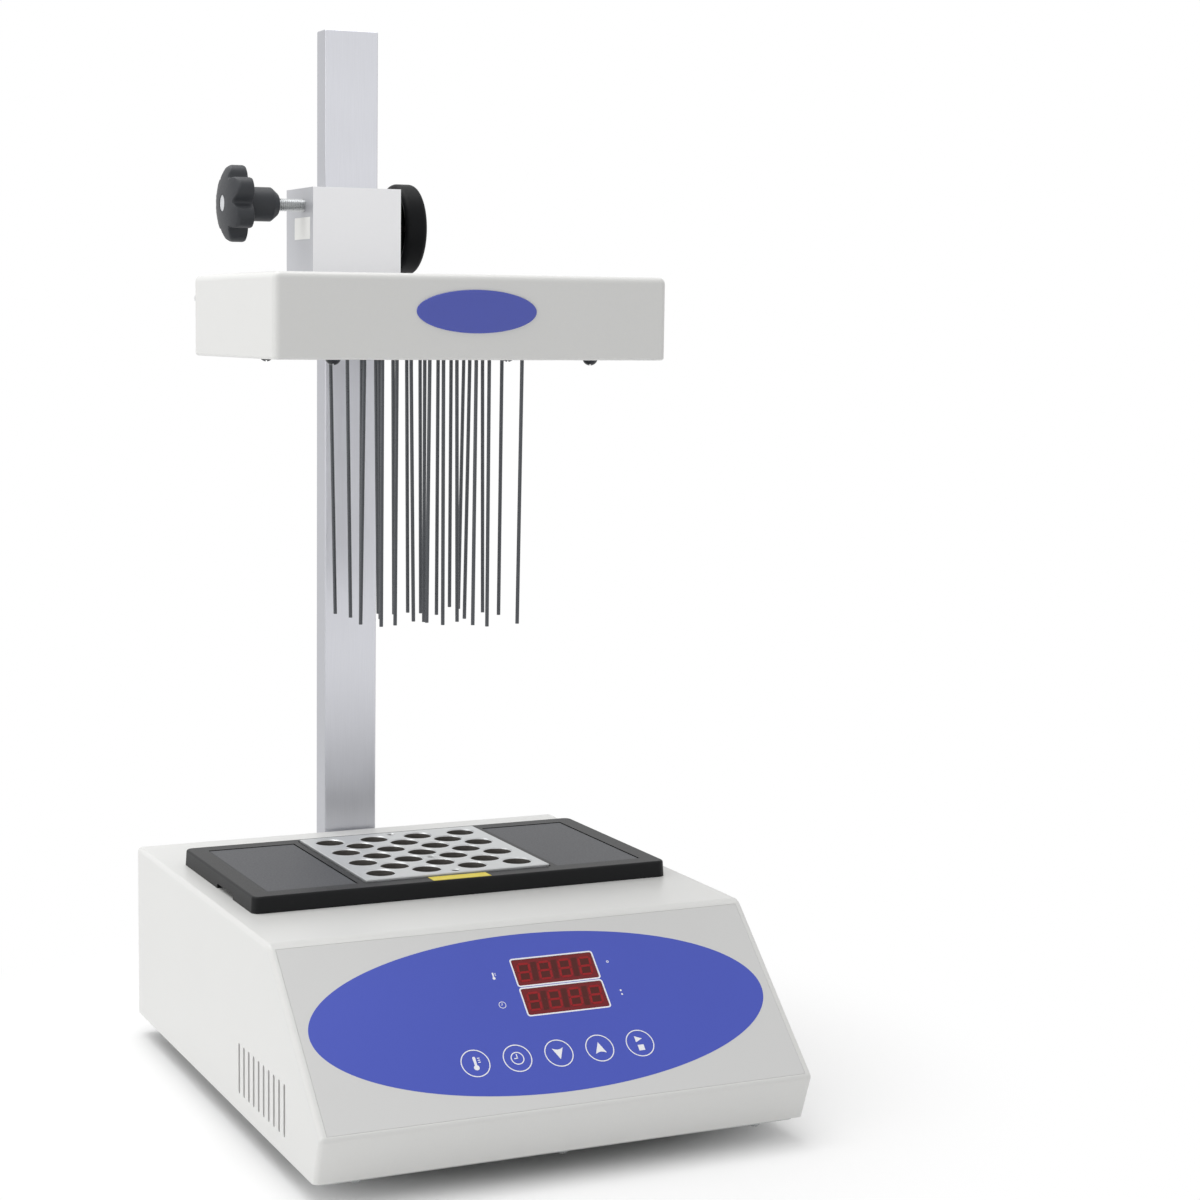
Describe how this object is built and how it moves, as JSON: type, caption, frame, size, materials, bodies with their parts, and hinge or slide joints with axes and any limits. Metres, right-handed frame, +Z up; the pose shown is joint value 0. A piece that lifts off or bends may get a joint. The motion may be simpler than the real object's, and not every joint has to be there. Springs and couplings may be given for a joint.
{
  "type": "nitrogen sample evaporator",
  "caption": "Bench evaporator: wedge heater base with a well block and keys, and a needle head on a rack-and-pinion column with lock knob.",
  "frame": {"origin": "on the bench, at the centre of the bounding box's footprint: in the middle of the machine's width, and half way between its nose and the back of the hand wheel", "axes": "+X to the right seen from the front, +Y to the back, +Z up along the column"},
  "size_m": [0.21, 0.2924, 0.4615],
  "materials": {
    "base_housing": "off-white powder coat",
    "rear_panel": "off-white powder coat",
    "bottom_plate": "plain sheet",
    "bottom_screws": "zinc plated",
    "rubber_feet": "matt black",
    "foot_screws": "zinc plated",
    "front_overlay": "printed film, grey with a blue oval",
    "display_windows": "dark red clear plastic",
    "led_displays": "dark",
    "control_board": "green laminate",
    "key_switches": "dark grey",
    "key_temp": "printed film",
    "key_time": "printed film",
    "key_down": "printed film",
    "key_up": "printed film",
    "key_start": "printed film",
    "top_frame": "black moulding",
    "left_cover_plate": "textured dark grey",
    "right_cover_plate": "textured dark grey",
    "heating_block": "machined, satin",
    "heater_well": "folded sheet",
    "heater_plate": "machined",
    "heater_mat": "silicone, brick red",
    "temperature_sensor": "plain",
    "insulation": "pressed mineral wool",
    "standoffs": "natural nylon",
    "power_board": "green laminate",
    "power_inlet": "black",
    "inlet_pins": "nickel plated",
    "fuse_drawer": "black",
    "switch_frame": "black",
    "switch_rocker": "black",
    "column": "satin anodised",
    "column_spacer": "plain plate",
    "column_screws": "plain",
    "nut_plate": "plain",
    "rack": "milled",
    "collar_body": "satin anodised",
    "collar_cover": "satin anodised",
    "collar_screws": "plain",
    "guide_liners": "natural bearing plastic",
    "shaft_bushes": "sintered bronze",
    "pinion_shaft": "milled",
    "handwheel": "black",
    "lock_pad": "turned",
    "lock_stud": "zinc plated thread",
    "lock_knob": "charcoal",
    "knob_cap": "light grey",
    "head_arm": "satin anodised",
    "arm_screws": "plain",
    "head_cover": "off-white powder coat",
    "head_bottom": "off-white powder coat",
    "head_screws": "black oxide",
    "badge_plate": "plain blue",
    "gas_chamber": "milled",
    "chamber_lid": "milled",
    "needle_seal": "silicone",
    "needles": "stainless tube",
    "gas_inlet": "turned",
    "inlet_tube": "clear hose"
  },
  "bodies": {
    "base": {"base_housing": "base_housing", "rear_panel": "rear_panel", "bottom_plate": "bottom_plate", "bottom_screws": "bottom_screws", "rubber_feet": "rubber_feet", "foot_screws": "foot_screws", "front_overlay": "front_overlay", "display_windows": "display_windows", "led_displays": "led_displays", "control_board": "control_board", "key_switches": "key_switches", "top_frame": "top_frame", "left_cover_plate": "left_cover_plate", "right_cover_plate": "right_cover_plate", "heater_well": "heater_well", "heater_plate": "heater_plate", "heater_mat": "heater_mat", "temperature_sensor": "temperature_sensor", "insulation": "insulation", "standoffs": "standoffs", "power_board": "power_board", "power_inlet": "power_inlet", "inlet_pins": "inlet_pins", "switch_frame": "switch_frame", "column": "column", "column_spacer": "column_spacer", "column_screws": "column_screws", "nut_plate": "nut_plate", "rack": "rack"},
    "head": {"collar_body": "collar_body", "collar_cover": "collar_cover", "collar_screws": "collar_screws", "guide_liners": "guide_liners", "shaft_bushes": "shaft_bushes", "head_arm": "head_arm", "arm_screws": "arm_screws", "head_cover": "head_cover", "head_bottom": "head_bottom", "head_screws": "head_screws", "badge_plate": "badge_plate", "gas_chamber": "gas_chamber", "chamber_lid": "chamber_lid", "needle_seal": "needle_seal", "needles": "needles", "gas_inlet": "gas_inlet", "inlet_tube": "inlet_tube"},
    "handwheel": {"pinion_shaft": "pinion_shaft", "handwheel": "handwheel"},
    "lock_pad": {"lock_pad": "lock_pad"},
    "lock_knob": {"lock_stud": "lock_stud", "lock_knob": "lock_knob", "knob_cap": "knob_cap"},
    "key_temp": {"key_temp": "key_temp"},
    "key_time": {"key_time": "key_time"},
    "key_down": {"key_down": "key_down"},
    "key_up": {"key_up": "key_up"},
    "key_start": {"key_start": "key_start"},
    "heating_block": {"heating_block": "heating_block"},
    "fuse_drawer": {"fuse_drawer": "fuse_drawer"},
    "switch_rocker": {"switch_rocker": "switch_rocker"}
  },
  "joints": [
    {"name": "head_lift", "type": "slide", "parent": "base", "child": "head", "axis": [0, 0, 1], "range_m": [-0.14, 0.05]},
    {"name": "handwheel_turn", "type": "hinge", "parent": "head", "child": "handwheel", "pos_m": [0.03, 0.1251, 0.372], "axis": [1, 0, 0], "range_deg": [-1345, 485]},
    {"name": "lock_travel", "type": "slide", "parent": "head", "child": "lock_pad", "axis": [1, 0, 0], "range_m": [-0.001, 0.00028]},
    {"name": "lock_knob_turn", "type": "hinge", "parent": "lock_pad", "child": "lock_knob", "pos_m": [-0.04, 0.1126, 0.3815], "axis": [1, 0, 0], "range_deg": [-360, 100]},
    {"name": "key_temp_press", "type": "slide", "parent": "base", "child": "key_temp", "axis": [0, 0.6865, -0.7272], "range_m": [0, 0.0004], "stiffness_N_per_m": 300},
    {"name": "key_time_press", "type": "slide", "parent": "base", "child": "key_time", "axis": [0, 0.6865, -0.7272], "range_m": [0, 0.0004], "stiffness_N_per_m": 300},
    {"name": "key_down_press", "type": "slide", "parent": "base", "child": "key_down", "axis": [0, 0.6865, -0.7272], "range_m": [0, 0.0004], "stiffness_N_per_m": 300},
    {"name": "key_up_press", "type": "slide", "parent": "base", "child": "key_up", "axis": [0, 0.6865, -0.7272], "range_m": [0, 0.0004], "stiffness_N_per_m": 300},
    {"name": "key_start_press", "type": "slide", "parent": "base", "child": "key_start", "axis": [0, 0.6865, -0.7272], "range_m": [0, 0.0004], "stiffness_N_per_m": 300},
    {"name": "block_lift", "type": "slide", "parent": "base", "child": "heating_block", "axis": [0, 0, 1], "range_m": [0, 0.06]},
    {"name": "fuse_drawer_slide", "type": "slide", "parent": "base", "child": "fuse_drawer", "axis": [0, 1, 0], "range_m": [0, 0.016]},
    {"name": "switch_rocker_turn", "type": "hinge", "parent": "base", "child": "switch_rocker", "pos_m": [-0.066, 0.1026, 0.0485], "axis": [1, 0, 0], "range_deg": [-12, 0]}
  ],
  "couplings": [
    {"joint": "handwheel_turn", "follows": "head_lift", "rad_per_m": 166.67},
    {"joint": "lock_knob_turn", "follows": "lock_travel", "rad_per_m": 6283.2}
  ]
}
